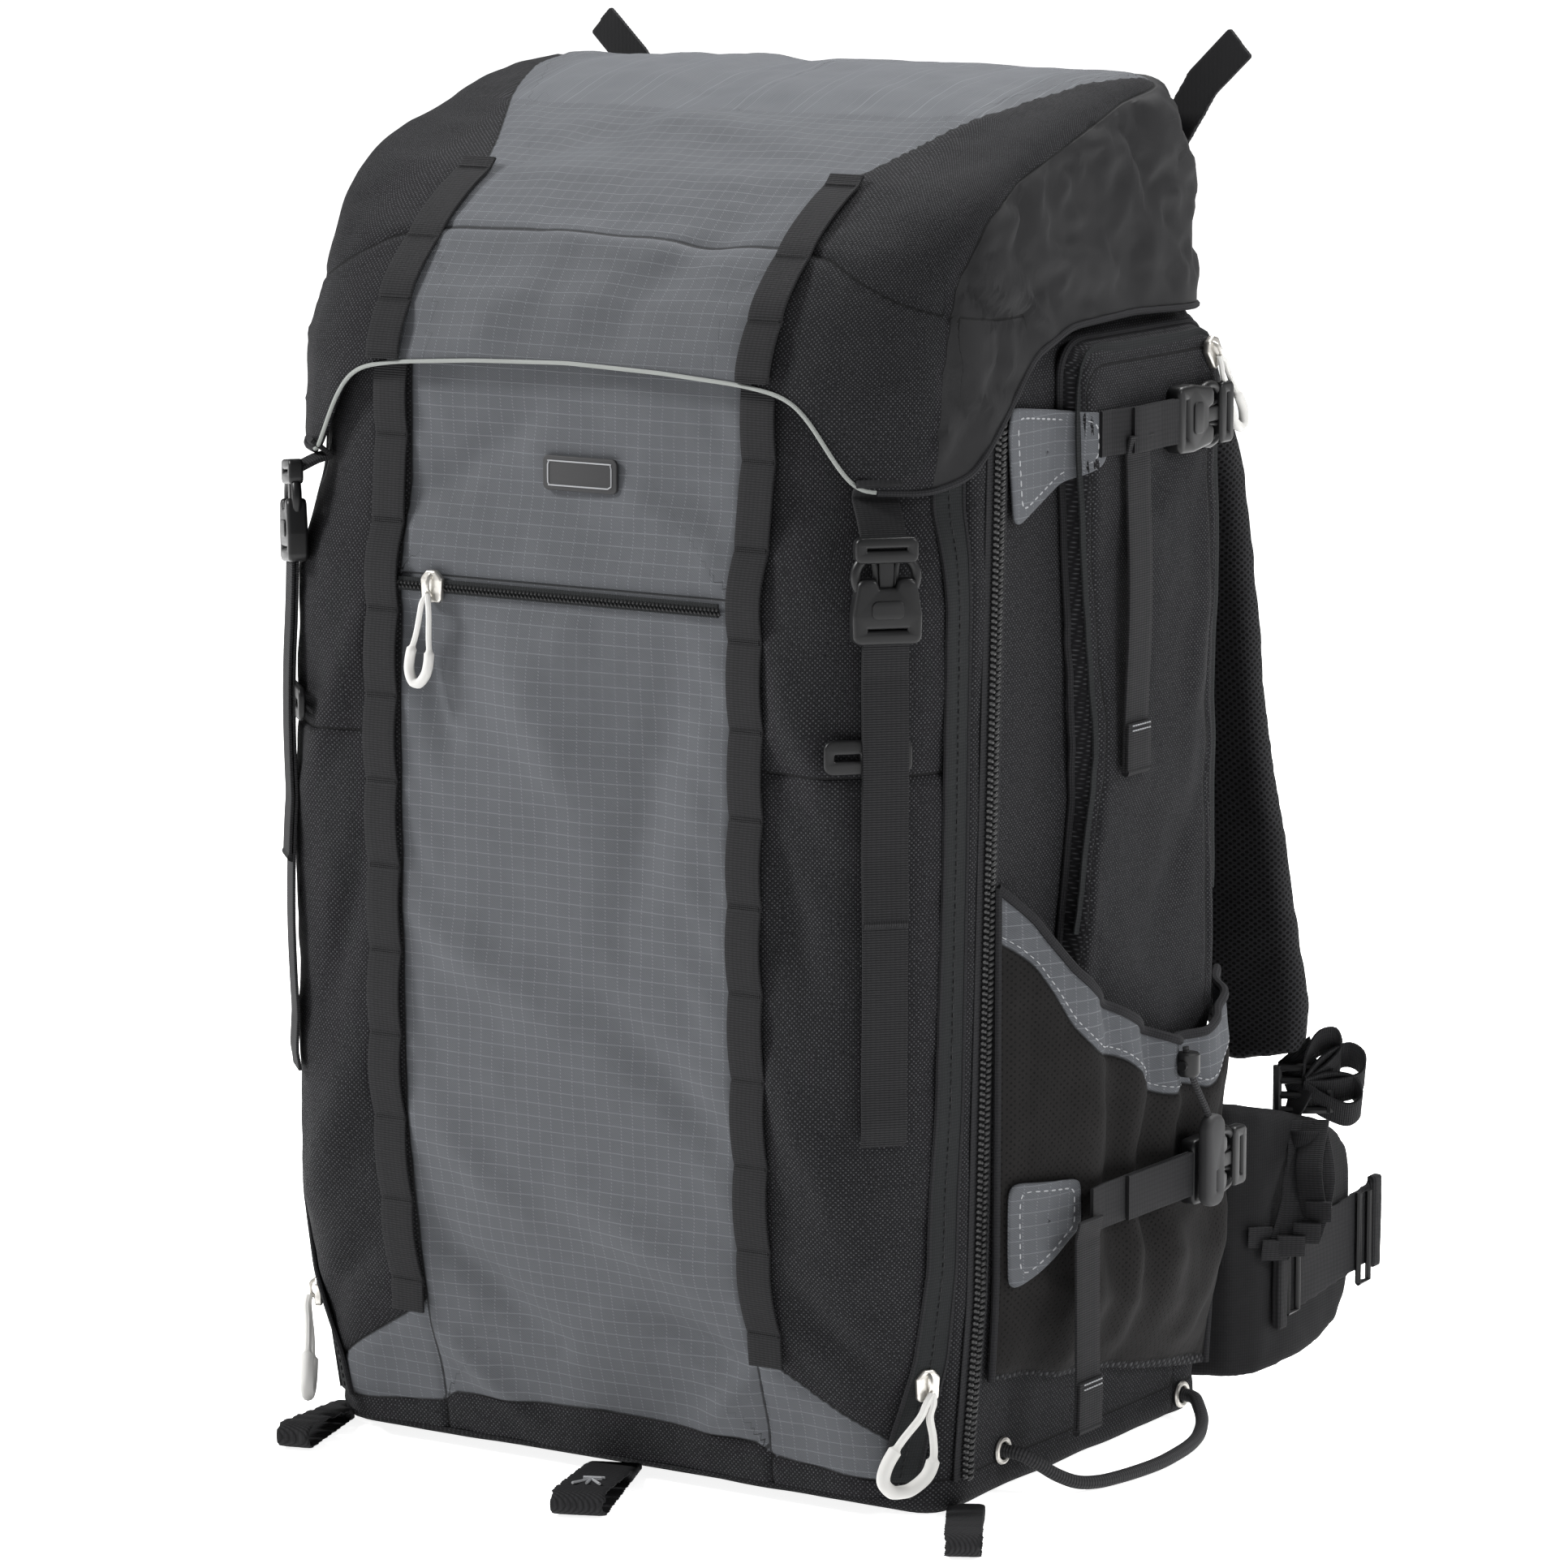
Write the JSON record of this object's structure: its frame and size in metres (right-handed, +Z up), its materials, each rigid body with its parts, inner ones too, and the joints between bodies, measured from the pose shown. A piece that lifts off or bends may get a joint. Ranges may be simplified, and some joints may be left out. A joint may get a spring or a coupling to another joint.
{
  "type": "camera backpack",
  "caption": "Standing camera backpack with a flip-over lid, zipped front pocket, side and bottle pockets, buckled webbing, shock cords, shoulder straps and hip belt.",
  "frame": {"origin": "middle of the base where the bag stands on the floor, on the floor's level", "axes": "+Z up, -Y out of the front pocket, +X to the right seen from the front"},
  "size_m": [0.4137, 0.4584, 0.6272],
  "materials": {
    "black_cloth": "black basket-weave nylon with pale specks",
    "grey_cloth": "mid-grey ripstop with a pale grid",
    "side_cloth": "smooth dark cloth",
    "black_webbing": "ribbed black webbing",
    "black_plastic": "black acetal with soft highlights",
    "black_rubber": "matt black rubber patch",
    "zip_tape": "felt-like dark zip tape",
    "pull_cord": "pale cord with a moulded grip",
    "bottle_mesh": "dark stretch mesh",
    "spacer_mesh": "black spacer mesh over foam",
    "shock_cord": "dark braided cord"
  },
  "bodies": {
    "root": {"main_body": "black_cloth", "back_pad": "spacer_mesh", "front_pocket": "grey_cloth", "lid": "grey_cloth", "label_patch": "black_rubber", "front_zip": "zip_tape", "tripod_loop": "black_webbing", "cord_lock_right": "black_plastic", "draw_cord_right": "shock_cord", "cord_end_right": "black_webbing", "corner_loop_right": "black_webbing", "corner_loop_left": "black_webbing", "hood_side_right": "black_cloth", "hood_side_left": "black_cloth", "lid_daisy_right": "black_webbing", "lid_daisy_left": "black_webbing", "front_daisy_right": "black_webbing", "front_daisy_left": "black_webbing", "front_strap_upper_right": "black_webbing", "front_strap_upper_left": "black_webbing", "front_buckle_right": "black_plastic", "front_buckle_left": "black_plastic", "front_strap_right": "black_webbing", "front_strap_left": "black_webbing", "gear_hook_right": "black_plastic", "gear_hook_left": "black_plastic", "gusset_zip_right": "zip_tape", "gusset_zip_left": "zip_tape", "main_zip_right": "black_plastic", "main_zip_left": "black_plastic", "side_pocket_right": "side_cloth", "side_pocket_left": "side_cloth", "side_zip_pull_right": "pull_cord", "side_zip_pull_left": "pull_cord", "upper_strap_right": "black_webbing", "upper_strap_left": "black_webbing", "upper_buckle_right": "black_plastic", "upper_buckle_left": "black_plastic", "lower_strap_right": "black_webbing", "lower_strap_left": "black_webbing", "lower_buckle_right": "black_plastic", "lower_buckle_left": "black_plastic", "bottle_pocket_right": "bottle_mesh", "bottle_pocket_left": "bottle_mesh", "shock_cord_right": "shock_cord", "shock_cord_left": "shock_cord", "front_eyelet_right": "black_plastic", "front_eyelet_left": "black_plastic", "rear_eyelet_right": "black_plastic", "rear_eyelet_left": "black_plastic", "shoulder_strap_right": "spacer_mesh", "shoulder_strap_left": "spacer_mesh", "strap_webbing_right": "black_webbing", "strap_webbing_left": "black_webbing", "hip_belt_right": "black_cloth", "hip_belt_left": "black_cloth", "belt_webbing_right": "black_webbing", "belt_webbing_left": "black_webbing", "lid_tail_right": "black_webbing", "lid_tail_left": "black_webbing"}
  },
  "joints": []
}
